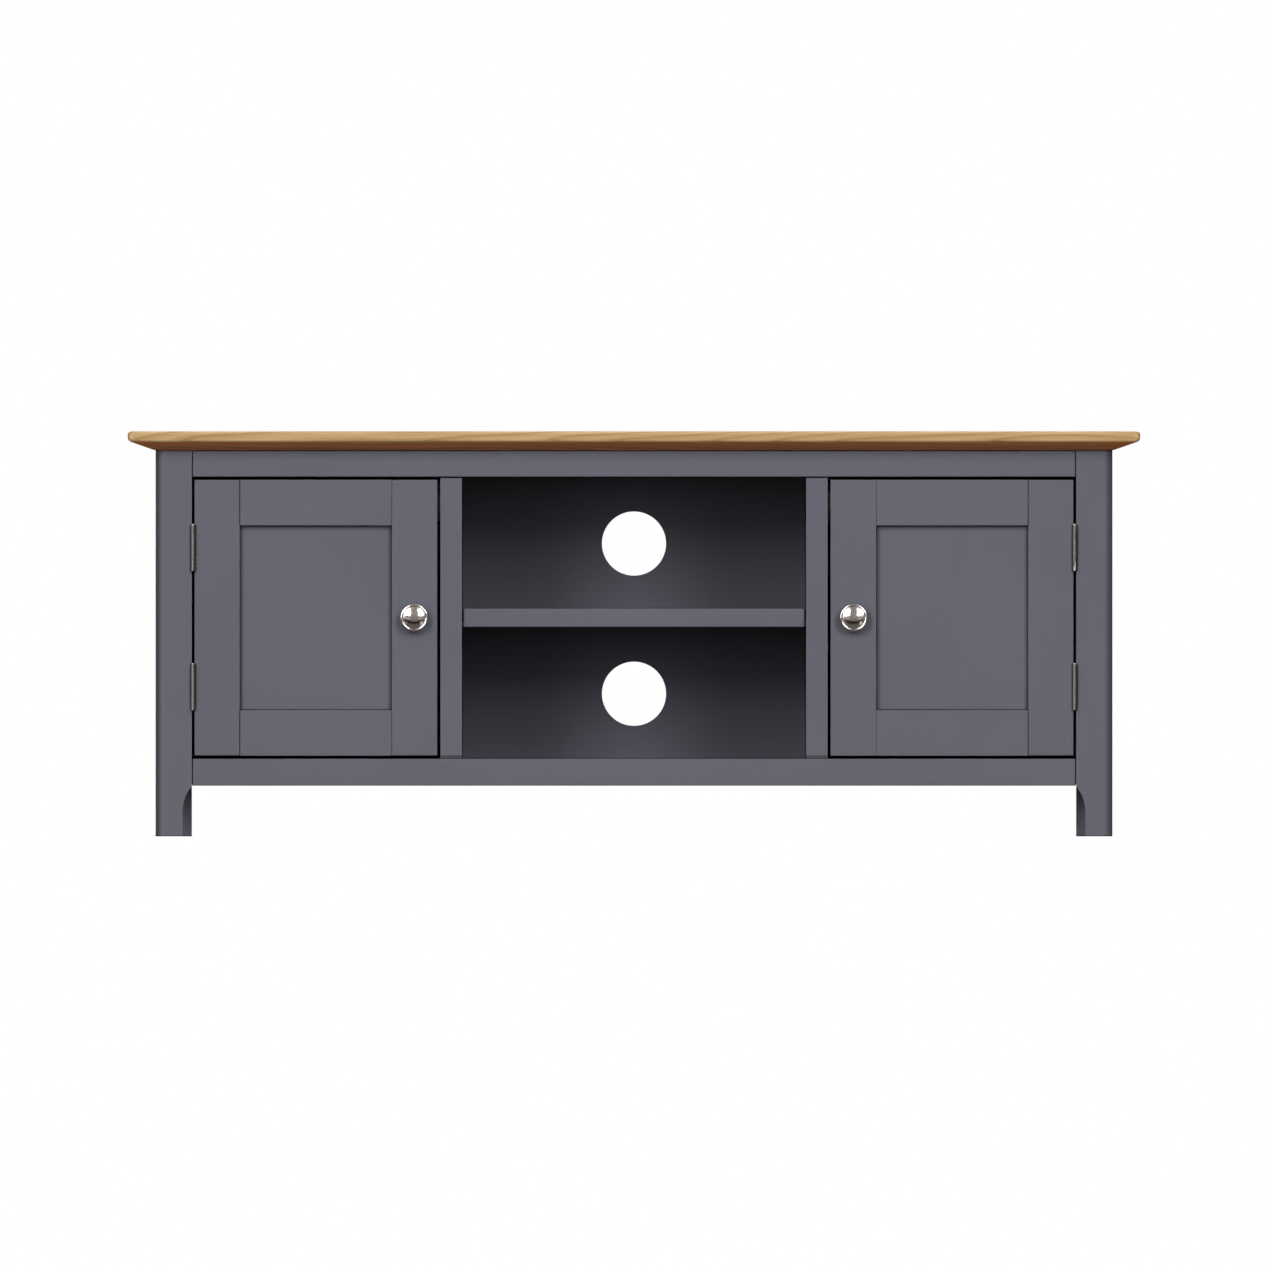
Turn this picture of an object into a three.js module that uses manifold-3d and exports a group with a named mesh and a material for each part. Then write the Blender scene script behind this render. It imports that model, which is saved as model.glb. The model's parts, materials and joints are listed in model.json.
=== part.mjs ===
// A media cabinet: an oak top on a painted frame-and-panel carcass, with a two-bay open centre
// and a framed inset door at each end.
//
// Millimetres. +X is the cabinet's right, -Y its front and +Z up. The origin is on the floor,
// under the middle of the top.

import * as THREE from "three";
import { mergeVertices } from "three/addons/utils/BufferGeometryUtils.js";
import Module from "manifold-3d";

const wasm = await Module();
wasm.setup();

// ---- Driving dimensions ----

const WIDTH = 1200;
const DEPTH = 400;
const HEIGHT = 480;

const GAP = 0.3; // left between fixed pieces that meet

// Top
const TOP_T = 22;
const OVERHANG = 33; // past the legs, at the front and both ends
const BEVEL_W = 28.6; // the slope under the edge
const BEVEL_H = 10;
const NOSE_R = 3; // between the slope and the nose
const TOP_EDGE_R = 3.5;

// Legs and rails
const LEG = 43;
const LEG_ROUND_W = 10; // a front leg's outer arris, across its front
const LEG_ROUND_D = 18; // and back along its side
const FOOT_CUT = 11; // taken off the inner side of a front foot
const FOOT_CUT_R = 47;
const FOOT_CUT_Z = 29; // where the cut's arc meets its straight part
const CLEARANCE = 60; // floor to the bottom rails
const RAIL_H = 32;
const RAIL_T = 22;
const RAIL_SETBACK = 1; // rails behind the legs' faces
const BACK_RAIL_H = 16; // the low one, which also carries the bottom panel
const TENON_L = 12;
const TENON_T = 8;
const TENON_SHARE = 0.5; // of the rail's height

// Panels
const SIDE_PANEL_T = 9;
const GROOVE = 5; // depth of the grooves that hold the side panels
const BACK_T = 9;
const BACK_REBATE = 10; // width of the rear legs' rebates for the back panel
const BACK_MARGIN = 2; // back panel short of the carcass, above and below
const FLOOR_T = 15;
const FLOOR_DROP = 0.5; // bottom panel below the bottom rail's upper edge
const HOUSING = 3; // depth of the dividers' housings in it
const CLEAT = 20;

// Centre bays
const CENTRE_W = 408;
const DIVIDER_T = 25.5;
const DIVIDER_SETBACK = 1.5;
const DIVIDER_HEAD_GAP = 1.4; // under the top rail
const DIVIDER_FOOT_H = 3.6; // of the step cut back at its foot
const DIVIDER_FOOT_SETBACK = 2.5;
const SHELF_T = 22;
const SHELF_Z = 248; // underside
const SHELF_SETBACK = 8;
const SHELF_END_GAP = 1.2;
const SHELF_PIN_R = 2.5;
const SHELF_PIN_OUT = 8;
const SHELF_PIN_IN = 10;
const SHELF_PIN_INSET = 50; // from the shelf's front and back edges
const SHELF_PIN_UP = 4; // its axis above the shelf's underside
const CABLE_HOLE_R = 38;
const CABLE_HOLE_DROP = 1; // below the middle of its bay

// Doors
const DOOR_T = 22;
const DOOR_SIDE_GAP = 3; // at the hinges
const DOOR_LOCK_GAP = 3.5;
const DOOR_HEAD_GAP = 3.4;
const DOOR_FOOT_GAP = 3.6;
const FRAME_W = 54; // stiles and rails
const DOOR_PANEL_T = 6;
const DOOR_PANEL_RECESS = 10;
const DOOR_GROOVE = 8;

// Knobs
const KNOB_FROM_EDGE = 27.5;
const KNOB_BORE_R = 2.3;
const KNOB_BORE = 11;
const SCREW_R = 2;
const SCREW_INTO_KNOB = 9;
const SCREW_HEAD_R = 4;
const SCREW_HEAD_H = 2.4;

// Butt hinges
const HINGE_L = 54;
const HINGE_END = 54; // from the door's head and foot
const HINGE_PROUD = 3; // pin axis in front of the door
const KNUCKLES = 5;
const KNUCKLE_R = 3;
const KNUCKLE_BORE_R = 1.7;
const PIN_R = 1.5;
const PIN_HEAD_R = 2.3;
const PIN_HEAD_H = 1.2;
const LEAF_T = 1.1;
const LEAF_W = 20;
const LEAF_OFF = 0.2; // from the middle of the door's side gap

// Magnetic catches
const CATCH_T = 14;
const CATCH_D = 24;
const CATCH_H = 26;
const CATCH_EAR_T = 3;
const CATCH_EAR_D = 14;
const CATCH_EAR_H = 46;
const CATCH_BELOW_RAIL = 30; // its middle
const STRIKE_T = 1;
const STRIKE_W = 15;
const STRIKE_H = 34;
const STRIKE_FROM_EDGE = 2;

// Corner braces
const BRACE_REACH = 74; // along each rail from their corner
const BRACE_T = 16;
const BRACE_H = 28;

const ROUND_STEPS = 16; // sides of small round work
const EDGE_STEPS = 6; // along a quarter round
const LEG_ROUND_STEPS = 10;
const KNOB_STEPS = 28;
const CABLE_HOLE_STEPS = 56;
const SLACK = 1; // how far a cutter runs past the face it opens

// ---- Places worked out from them ----

const BODY_X = WIDTH / 2 - OVERHANG;
const FRONT_Y = -DEPTH / 2 + OVERHANG;
const BACK_Y = DEPTH / 2;
const UNDER_TOP = HEIGHT - TOP_T;
const LEG_X = BODY_X - LEG; // inner faces of the legs
const FRONT_LEG_Y = FRONT_Y + LEG;
const BACK_LEG_Y = BACK_Y - LEG;
const OPENING_LOW = CLEARANCE + RAIL_H;
const OPENING_HIGH = UNDER_TOP - RAIL_H;
const RAIL_Y = FRONT_Y + RAIL_SETBACK;
const BEHIND_RAIL_Y = RAIL_Y + RAIL_T;
const BACK_PANEL_Y = BACK_Y - BACK_T - GAP;
const BACK_RAIL_Y = BACK_PANEL_Y - GAP - RAIL_T;
const SIDE_RAIL_X = BODY_X - RAIL_SETBACK - RAIL_T;
const FLOOR_TOP = OPENING_LOW - FLOOR_DROP;
const HOUSING_Z = FLOOR_TOP - HOUSING;
const SHELF_TOP = SHELF_Z + SHELF_T;
const DIVIDER_X = CENTRE_W / 2;
const DIVIDER_OUT_X = DIVIDER_X + DIVIDER_T;
const DIVIDER_Y = FRONT_Y + DIVIDER_SETBACK;
const HINGE_X = LEG_X - DOOR_SIDE_GAP / 2;
const HINGE_Y = FRONT_Y - HINGE_PROUD;
const DOOR_LOW = OPENING_LOW + DOOR_FOOT_GAP;
const DOOR_H = OPENING_HIGH - DOOR_HEAD_GAP - DOOR_LOW;
const DOOR_W = LEG_X - DIVIDER_OUT_X - DOOR_SIDE_GAP - DOOR_LOCK_GAP;
const CATCH_Z = OPENING_HIGH - CATCH_BELOW_RAIL;

const SIDES = [
  { name: "left", sign: -1 },
  { name: "right", sign: 1 },
];

// ---- Materials ----

function finish(color, roughness, metalness) {
  return new THREE.MeshStandardMaterial({ color, roughness, metalness });
}

const oak = finish(0xc0a075, 0.5, 0);
const paint = finish(0x67676f, 0.5, 0);
const softwood = finish(0xc9ad83, 0.7, 0);
const nickel = finish(0xc8c6c2, 0.15, 1);
const steel = finish(0x9a9894, 0.35, 1);
const catchPlastic = finish(0xd8d6d0, 0.5, 0);

// ---- Solids ----

// A closed three.js geometry as a solid that can be cut and joined.
function solid(geometry) {
  geometry.deleteAttribute("normal");
  geometry.deleteAttribute("uv");
  const merged = mergeVertices(geometry);
  return new wasm.Manifold(
    new wasm.Mesh({
      numProp: 3,
      vertProperties: merged.attributes.position.array,
      triVerts: new Uint32Array(merged.index.array),
    }),
  );
}

// A solid box between two opposite corners, given in any order.
function block([x0, y0, z0], [x1, y1, z1], grow = 0) {
  const geometry = new THREE.BoxGeometry(
    Math.abs(x1 - x0) + 2 * grow,
    Math.abs(y1 - y0) + 2 * grow,
    Math.abs(z1 - z0) + 2 * grow,
  );
  return solid(geometry.translate((x0 + x1) / 2, (y0 + y1) / 2, (z0 + z1) / 2));
}

// How a shape's own x, y and depth lie in the cabinet when it is extruded along an axis.
const EXTRUDE_BASIS = {
  x: [new THREE.Vector3(0, 1, 0), new THREE.Vector3(0, 0, 1), new THREE.Vector3(1, 0, 0)],
  y: [new THREE.Vector3(1, 0, 0), new THREE.Vector3(0, 0, 1), new THREE.Vector3(0, -1, 0)],
  z: [new THREE.Vector3(1, 0, 0), new THREE.Vector3(0, 1, 0), new THREE.Vector3(0, 0, 1)],
};

// A shape extruded along an axis, from low to high. The shape lies across the other two axes.
function prism(shape, axis, low, high) {
  const geometry = new THREE.ExtrudeGeometry(shape, {
    depth: high - low,
    bevelEnabled: false,
    curveSegments: 1,
  });
  const start = axis === "y" ? -high : low;
  geometry.translate(0, 0, start);
  return solid(geometry.applyMatrix4(new THREE.Matrix4().makeBasis(...EXTRUDE_BASIS[axis])));
}

// Points along an arc, both ends included.
function arc(x, y, radius, from, to, steps) {
  return Array.from({ length: steps + 1 }, (_, i) => {
    const angle = from + ((to - from) * i) / steps;
    return new THREE.Vector2(x + radius * Math.cos(angle), y + radius * Math.sin(angle));
  });
}

// A round bar along an axis, from low to high, centred on [a, b] across the other two axes.
function bar(radius, axis, [a, b], low, high, steps = ROUND_STEPS) {
  const outline = arc(a, b, radius, 0, 2 * Math.PI, steps).slice(1);
  return prism(new THREE.Shape(outline), axis, low, high);
}

// A solid as a named mesh, placed at the middle of its own box.
function piece(name, made, material) {
  const { vertProperties, triVerts } = made.getMesh();
  const indexed = new THREE.BufferGeometry();
  indexed.setAttribute("position", new THREE.BufferAttribute(vertProperties, 3));
  indexed.setIndex(new THREE.BufferAttribute(triVerts, 1));
  const geometry = indexed.toNonIndexed();
  geometry.computeVertexNormals();
  geometry.computeBoundingBox();
  const mesh = new THREE.Mesh(geometry, material);
  geometry.boundingBox.getCenter(mesh.position);
  geometry.translate(-mesh.position.x, -mesh.position.y, -mesh.position.z);
  mesh.name = name;
  return mesh;
}

// ---- Mortise and tenon joints ----

// The tenon on a rail that runs across the cabinet, at the inner face of a leg.
function crossTenon(sign, railY, railLow, railHigh) {
  const middle = (railLow + railHigh) / 2;
  const half = ((railHigh - railLow) * TENON_SHARE) / 2;
  return [
    [sign * (LEG_X - SLACK), railY + (RAIL_T - TENON_T) / 2, middle - half],
    [sign * (LEG_X + TENON_L), railY + (RAIL_T + TENON_T) / 2, middle + half],
  ];
}

// The tenon on a side rail, at a leg's face legY, pointing to the front (-1) or back (1).
function sideTenon(sign, legY, way, railLow, railHigh) {
  const middle = (railLow + railHigh) / 2;
  const half = ((railHigh - railLow) * TENON_SHARE) / 2;
  return [
    [sign * (SIDE_RAIL_X + (RAIL_T - TENON_T) / 2), legY - way * SLACK, middle - half],
    [sign * (SIDE_RAIL_X + (RAIL_T + TENON_T) / 2), legY + way * TENON_L, middle + half],
  ];
}

const TOP_RAIL_Z = [OPENING_HIGH, UNDER_TOP - GAP];
const BOTTOM_RAIL_Z = [CLEARANCE, OPENING_LOW];
const BACK_RAIL_Z = [CLEARANCE, CLEARANCE + BACK_RAIL_H];

// ---- Top ----

// The top's edge as points (in from the nose, up from the underside), from below to above.
function topEdge() {
  const slope = Math.atan2(BEVEL_H, BEVEL_W);
  const noseZ = BEVEL_H + NOSE_R * Math.cos(slope);
  return [
    new THREE.Vector2(NOSE_R * (1 - Math.sin(slope)) + BEVEL_W, 0),
    ...arc(NOSE_R, noseZ, NOSE_R, -Math.PI / 2 - slope, -Math.PI, EDGE_STEPS),
    ...arc(TOP_EDGE_R, TOP_T - TOP_EDGE_R, TOP_EDGE_R, Math.PI, Math.PI / 2, EDGE_STEPS),
  ];
}

function topPanel() {
  const edge = topEdge();
  const right = edge.map((p) => new THREE.Vector2(WIDTH / 2 - p.x, p.y));
  const left = edge.map((p) => new THREE.Vector2(p.x - WIDTH / 2, p.y)).reverse();
  const front = edge.map((p) => new THREE.Vector2(p.x - DEPTH / 2, p.y)).reverse();
  const back = [new THREE.Vector2(BACK_Y, 0), new THREE.Vector2(BACK_Y, TOP_T)];
  const across = prism(new THREE.Shape([...right, ...left]), "y", -DEPTH / 2, DEPTH / 2);
  const along = prism(new THREE.Shape([...back, ...front]), "x", -WIDTH / 2, WIDTH / 2);
  return across.intersect(along).translate([0, 0, UNDER_TOP]);
}

// ---- Legs ----

// A front leg's outer arris is a quarter of an ellipse.
function frontLeg(sign) {
  const arris = new THREE.Vector2(BODY_X - LEG_ROUND_W, FRONT_Y + LEG_ROUND_D);
  const reach = new THREE.Vector2(LEG_ROUND_W, LEG_ROUND_D);
  const section = [
    new THREE.Vector2(LEG_X, FRONT_Y),
    ...arc(0, 0, 1, -Math.PI / 2, 0, LEG_ROUND_STEPS).map((p) => p.multiply(reach).add(arris)),
    new THREE.Vector2(BODY_X, FRONT_LEG_Y),
    new THREE.Vector2(LEG_X, FRONT_LEG_Y),
  ].map((p) => new THREE.Vector2(sign * p.x, p.y));

  // The foot's inner side: an arc that runs down into a straight cut.
  const cutX = LEG_X + FOOT_CUT;
  const centreX = cutX - FOOT_CUT_R;
  const cut = bar(
    FOOT_CUT_R,
    "y",
    [sign * centreX, FOOT_CUT_Z],
    FRONT_Y - SLACK,
    FRONT_LEG_Y + SLACK,
    4 * ROUND_STEPS,
  ).add(
    block([sign * centreX, FRONT_Y - SLACK, -SLACK], [sign * cutX, FRONT_LEG_Y + SLACK, FOOT_CUT_Z]),
  );

  return prism(new THREE.Shape(section), "z", 0, UNDER_TOP - GAP)
    .subtract(cut)
    .subtract(block(...crossTenon(sign, RAIL_Y, ...TOP_RAIL_Z), GAP))
    .subtract(block(...crossTenon(sign, RAIL_Y, ...BOTTOM_RAIL_Z), GAP))
    .subtract(block(...sideTenon(sign, FRONT_LEG_Y, -1, ...TOP_RAIL_Z), GAP))
    .subtract(block(...sideTenon(sign, FRONT_LEG_Y, -1, ...BOTTOM_RAIL_Z), GAP))
    .subtract(sidePanel(sign, GAP));
}

function rearLeg(sign) {
  return block([sign * LEG_X, BACK_LEG_Y, 0], [sign * BODY_X, BACK_Y, UNDER_TOP - GAP])
    .subtract(block(...crossTenon(sign, BACK_RAIL_Y, ...TOP_RAIL_Z), GAP))
    .subtract(block(...crossTenon(sign, BACK_RAIL_Y, ...BACK_RAIL_Z), GAP))
    .subtract(block(...sideTenon(sign, BACK_LEG_Y, 1, ...TOP_RAIL_Z), GAP))
    .subtract(block(...sideTenon(sign, BACK_LEG_Y, 1, ...BOTTOM_RAIL_Z), GAP))
    .subtract(sidePanel(sign, GAP))
    .subtract(
      block(
        [sign * (LEG_X - SLACK), BACK_PANEL_Y - GAP, CLEARANCE + BACK_MARGIN - GAP],
        [sign * (LEG_X + BACK_REBATE), BACK_Y + SLACK, UNDER_TOP],
      ),
    );
}

// ---- Rails ----

function crossRail(railY, [low, high]) {
  const ends = SIDES.map(({ sign }) => block(...crossTenon(sign, railY, low, high)));
  return block([GAP - LEG_X, railY, low], [LEG_X - GAP, railY + RAIL_T, high])
    .add(ends[0])
    .add(ends[1]);
}

function sideRail(sign, [low, high]) {
  return block(
    [sign * SIDE_RAIL_X, FRONT_LEG_Y + GAP, low],
    [sign * (SIDE_RAIL_X + RAIL_T), BACK_LEG_Y - GAP, high],
  )
    .add(block(...sideTenon(sign, FRONT_LEG_Y, -1, low, high)))
    .add(block(...sideTenon(sign, BACK_LEG_Y, 1, low, high)))
    .subtract(sidePanel(sign, GAP));
}

// ---- Panels ----

// A side panel, held in grooves round its four edges. Grown by a gap, it is what cuts them.
function sidePanel(sign, grow = 0) {
  const inX = SIDE_RAIL_X + (RAIL_T - SIDE_PANEL_T) / 2;
  return block(
    [sign * inX, FRONT_LEG_Y - GROOVE, OPENING_LOW - GROOVE],
    [sign * (inX + SIDE_PANEL_T), BACK_LEG_Y + GROOVE, OPENING_HIGH + GROOVE],
    grow,
  );
}

// The bottom panel reaches out between the legs, and has a housing across it for each divider.
function bottomPanel() {
  const edgeX = SIDE_RAIL_X - GAP;
  const low = FLOOR_TOP - FLOOR_T;
  const front = BEHIND_RAIL_Y + GAP;
  const back = BACK_PANEL_Y - GAP;
  let made = block([-edgeX, front, low], [edgeX, back, FLOOR_TOP]);
  for (const { sign } of SIDES) {
    const inner = sign * (LEG_X - GAP);
    const outer = sign * (edgeX + SLACK);
    const legs = [
      [front - SLACK, FRONT_LEG_Y + GAP],
      [BACK_LEG_Y - GAP, back + SLACK],
    ];
    for (const [y0, y1] of legs) {
      made = made.subtract(block([inner, y0, low - SLACK], [outer, y1, FLOOR_TOP + SLACK]));
    }
    made = made.subtract(
      block(
        [sign * (DIVIDER_X - GAP), front - SLACK, HOUSING_Z],
        [sign * (DIVIDER_OUT_X + GAP), back + SLACK, FLOOR_TOP + SLACK],
      ),
    );
  }
  return made;
}

// The batten behind the front bottom rail that the bottom panel is screwed down to.
function bottomCleat() {
  return block(
    [GAP - LEG_X, BEHIND_RAIL_Y + GAP, CLEARANCE],
    [LEG_X - GAP, BEHIND_RAIL_Y + CLEAT, FLOOR_TOP - FLOOR_T - GAP],
  );
}

function backPanel() {
  const edgeX = LEG_X + BACK_REBATE - GAP;
  let made = block(
    [-edgeX, BACK_PANEL_Y, CLEARANCE + BACK_MARGIN],
    [edgeX, BACK_PANEL_Y + BACK_T, UNDER_TOP - BACK_MARGIN],
  );
  const bays = [
    [OPENING_LOW, SHELF_Z],
    [SHELF_TOP, OPENING_HIGH],
  ];
  for (const [low, high] of bays) {
    const z = (low + high) / 2 - CABLE_HOLE_DROP;
    const ends = [BACK_PANEL_Y - SLACK, BACK_Y + SLACK];
    made = made.subtract(bar(CABLE_HOLE_R, "y", [0, z], ...ends, CABLE_HOLE_STEPS));
  }
  return made;
}

// ---- Centre bays ----

function shelfPinPlaces() {
  return [
    { name: "front", y: DIVIDER_Y + SHELF_SETBACK + SHELF_PIN_INSET },
    { name: "rear", y: BACK_PANEL_Y - SHELF_PIN_INSET },
  ].map((place) => ({ ...place, z: SHELF_Z + SHELF_PIN_UP }));
}

// A round bar out of a divider's bay side, which is a shelf pin, or the hole for one.
function shelfPin(sign, { y, z }, radius, inside, outside) {
  const ends = [sign * (DIVIDER_X - outside), sign * (DIVIDER_X + inside)];
  return bar(radius, "x", [y, z], Math.min(...ends), Math.max(...ends));
}

// A divider stands in its housing in the bottom panel, and is notched round both top rails and
// the front bottom rail.
function divider(sign) {
  const [inner, outer] = [sign * DIVIDER_X, sign * DIVIDER_OUT_X];
  const front = DIVIDER_Y - SLACK;
  const back = BACK_PANEL_Y - GAP;
  const behindRail = BEHIND_RAIL_Y + GAP;
  const cutIn = sign * (DIVIDER_X - SLACK);
  const cutOut = sign * (DIVIDER_OUT_X + SLACK);
  const foot = DIVIDER_Y + DIVIDER_FOOT_SETBACK;
  let made = block([inner, DIVIDER_Y, HOUSING_Z + GAP], [outer, back, UNDER_TOP - GAP])
    .subtract(
      block([cutIn, front, OPENING_HIGH - DIVIDER_HEAD_GAP], [cutOut, behindRail, UNDER_TOP]),
    )
    .subtract(
      block([cutIn, BACK_RAIL_Y - GAP, OPENING_HIGH - GAP], [cutOut, back + SLACK, UNDER_TOP]),
    )
    .subtract(block([cutIn, front, HOUSING_Z], [cutOut, behindRail, OPENING_LOW + GAP]))
    .subtract(block([cutIn, front, OPENING_LOW], [cutOut, foot, OPENING_LOW + DIVIDER_FOOT_H]));
  for (const place of shelfPinPlaces()) {
    made = made.subtract(shelfPin(sign, place, SHELF_PIN_R + GAP, SHELF_PIN_IN + GAP, SLACK));
  }
  return made;
}

// The shelf rests on its pins in grooves, open below, across the ends of its underside.
function centreShelf() {
  const endX = DIVIDER_X - SHELF_END_GAP;
  const reach = SHELF_PIN_R + GAP;
  let made = block(
    [-endX, DIVIDER_Y + SHELF_SETBACK, SHELF_Z],
    [endX, BACK_PANEL_Y - SHELF_END_GAP, SHELF_TOP],
  );
  for (const { sign } of SIDES) {
    for (const { y, z } of shelfPinPlaces()) {
      made = made.subtract(
        block(
          [sign * (DIVIDER_X - SHELF_PIN_OUT - GAP), y - reach, SHELF_Z - SLACK],
          [sign * (endX + SLACK), y + reach, z + reach],
        ),
      );
    }
  }
  return made;
}

// ---- Corner braces ----

// A diagonal bar across the corner of two top rails, inside a leg. way is -1 at the front.
function cornerBrace(sign, way) {
  const railX = SIDE_RAIL_X - GAP;
  const railY = way < 0 ? BEHIND_RAIL_Y + GAP : BACK_RAIL_Y - GAP;
  const outer = BRACE_REACH - BRACE_T * Math.SQRT2;
  const section = new THREE.Shape();
  section.moveTo(sign * (railX - BRACE_REACH), railY);
  section.lineTo(sign * (railX - outer), railY);
  section.lineTo(sign * railX, railY - way * outer);
  section.lineTo(sign * railX, railY - way * BRACE_REACH);
  return prism(section, "z", UNDER_TOP - GAP - BRACE_H, UNDER_TOP - GAP);
}

// ---- Doors ----
// A door's own frame has its hinge axis at x = 0 and its foot at z = 0. into is the sign of the
// way from the hinge to the knob.

const DOOR_IN = DOOR_SIDE_GAP / 2; // hinge axis to the door's edge
const DOOR_OUT = DOOR_IN + DOOR_W;
const DOOR_Y = HINGE_PROUD; // the door's front face
const PANEL_Y = DOOR_Y + DOOR_PANEL_RECESS;

// The panel and the rails' tongues lie in one groove. Grown by a gap, they are what cuts it.
function doorPanel(into, grow = 0) {
  const reach = DOOR_GROOVE - GAP;
  return block(
    [into * (DOOR_IN + FRAME_W - reach), PANEL_Y, FRAME_W - reach],
    [into * (DOOR_OUT - FRAME_W + reach), PANEL_Y + DOOR_PANEL_T, DOOR_H - FRAME_W + reach],
    grow,
  );
}

function doorStile(into, near) {
  const grooveFace = near === DOOR_IN ? near + FRAME_W : near;
  const grooveFloor = grooveFace + (near === DOOR_IN ? -DOOR_GROOVE : DOOR_GROOVE);
  const open = grooveFace + (near === DOOR_IN ? SLACK : -SLACK);
  return block(
    [into * near, DOOR_Y, 0],
    [into * (near + FRAME_W), DOOR_Y + DOOR_T, DOOR_H],
  ).subtract(
    block(
      [into * grooveFloor, PANEL_Y - GAP, -SLACK],
      [into * open, PANEL_Y + DOOR_PANEL_T + GAP, DOOR_H + SLACK],
    ),
  );
}

function doorRail(into, low) {
  const [start, end] = [DOOR_IN + FRAME_W + GAP, DOOR_OUT - FRAME_W - GAP];
  const reach = DOOR_GROOVE - 2 * GAP;
  return block([into * start, DOOR_Y, low], [into * end, DOOR_Y + DOOR_T, low + FRAME_W])
    .add(
      block(
        [into * (start - reach), PANEL_Y, low],
        [into * (end + reach), PANEL_Y + DOOR_PANEL_T, low + FRAME_W],
      ),
    )
    .subtract(doorPanel(into, GAP));
}

function knob(into) {
  const profile = [
    [0, 0],
    [8.5, 0],
    [8.5, 1.4],
    [6.6, 3.2],
    [6, 5.4],
    [7.4, 8.2],
    [11.4, 10.6],
    [15.2, 11.5],
    [16.4, 12.4],
    [16.6, 13.2],
    [16.2, 14.2],
    [15, 14.8],
    [13.2, 14.7],
    [9, 16],
    [4.5, 16.7],
    [0, 16.9],
  ].map(([radius, out]) => new THREE.Vector2(radius, out));
  const turned = new THREE.LatheGeometry(profile, KNOB_STEPS).rotateX(Math.PI);
  turned.translate(into * (DOOR_OUT - KNOB_FROM_EDGE), DOOR_Y - GAP, DOOR_H / 2);
  const bore = knobBar(into, KNOB_BORE_R, DOOR_Y - GAP - KNOB_BORE, DOOR_Y);
  return solid(turned).subtract(bore);
}

// A round bar on a knob's axis.
function knobBar(into, radius, low, high) {
  return bar(radius, "y", [into * (DOOR_OUT - KNOB_FROM_EDGE), DOOR_H / 2], low, high);
}

function knobScrew(into) {
  const head = DOOR_Y + DOOR_T + GAP;
  return knobBar(into, SCREW_R, DOOR_Y - SCREW_INTO_KNOB, head + SLACK).add(
    knobBar(into, SCREW_HEAD_R, head, head + SCREW_HEAD_H),
  );
}

function strikePlate(into) {
  const back = DOOR_Y + DOOR_T;
  const z = CATCH_Z - DOOR_LOW;
  const edge = DOOR_OUT - STRIKE_FROM_EDGE;
  return block(
    [into * (edge - STRIKE_W), back + GAP / 2, z - STRIKE_H / 2],
    [into * edge, back + GAP / 2 + STRIKE_T, z + STRIKE_H / 2],
  );
}

function magneticCatch(sign) {
  const face = DIVIDER_OUT_X + GAP;
  const front = FRONT_Y + DOOR_T + STRIKE_T + 2 * GAP;
  return block(
    [sign * face, front, CATCH_Z - CATCH_H / 2],
    [sign * (face + CATCH_T), front + CATCH_D, CATCH_Z + CATCH_H / 2],
  ).add(
    block(
      [sign * face, front + CATCH_D - CATCH_EAR_D, CATCH_Z - CATCH_EAR_H / 2],
      [sign * (face + CATCH_EAR_T), front + CATCH_D, CATCH_Z + CATCH_EAR_H / 2],
    ),
  );
}

// ---- Butt hinges ----
// A hinge's own frame has its pin on the Z axis and its lowest knuckle at z = 0. A leaf lies
// on the side of the pin that way points to, and holds every second knuckle from first.

function hingeLeaf(way, first) {
  const inner = way * LEAF_OFF;
  const outer = way * (LEAF_OFF + LEAF_T);
  const pitch = (HINGE_L + GAP) / KNUCKLES;
  const midWall = (KNUCKLE_BORE_R + KNUCKLE_R) / 2;
  let made = block([inner, KNUCKLE_R + GAP, 0], [outer, LEAF_W, HINGE_L]);
  for (let i = first; i < KNUCKLES; i += 2) {
    const [low, high] = [i * pitch, (i + 1) * pitch - GAP];
    const barrel = bar(KNUCKLE_R, "z", [0, 0], low, high).subtract(
      bar(KNUCKLE_BORE_R, "z", [0, 0], low - SLACK, high + SLACK),
    );
    made = made.add(barrel).add(block([inner, midWall, low], [outer, KNUCKLE_R + SLACK, high]));
  }
  return made;
}

function hingePin() {
  return bar(PIN_R, "z", [0, 0], 0, HINGE_L + SLACK).add(
    bar(PIN_HEAD_R, "z", [0, 0], HINGE_L + GAP, HINGE_L + GAP + PIN_HEAD_H),
  );
}

// ---- Assembly ----

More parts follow.
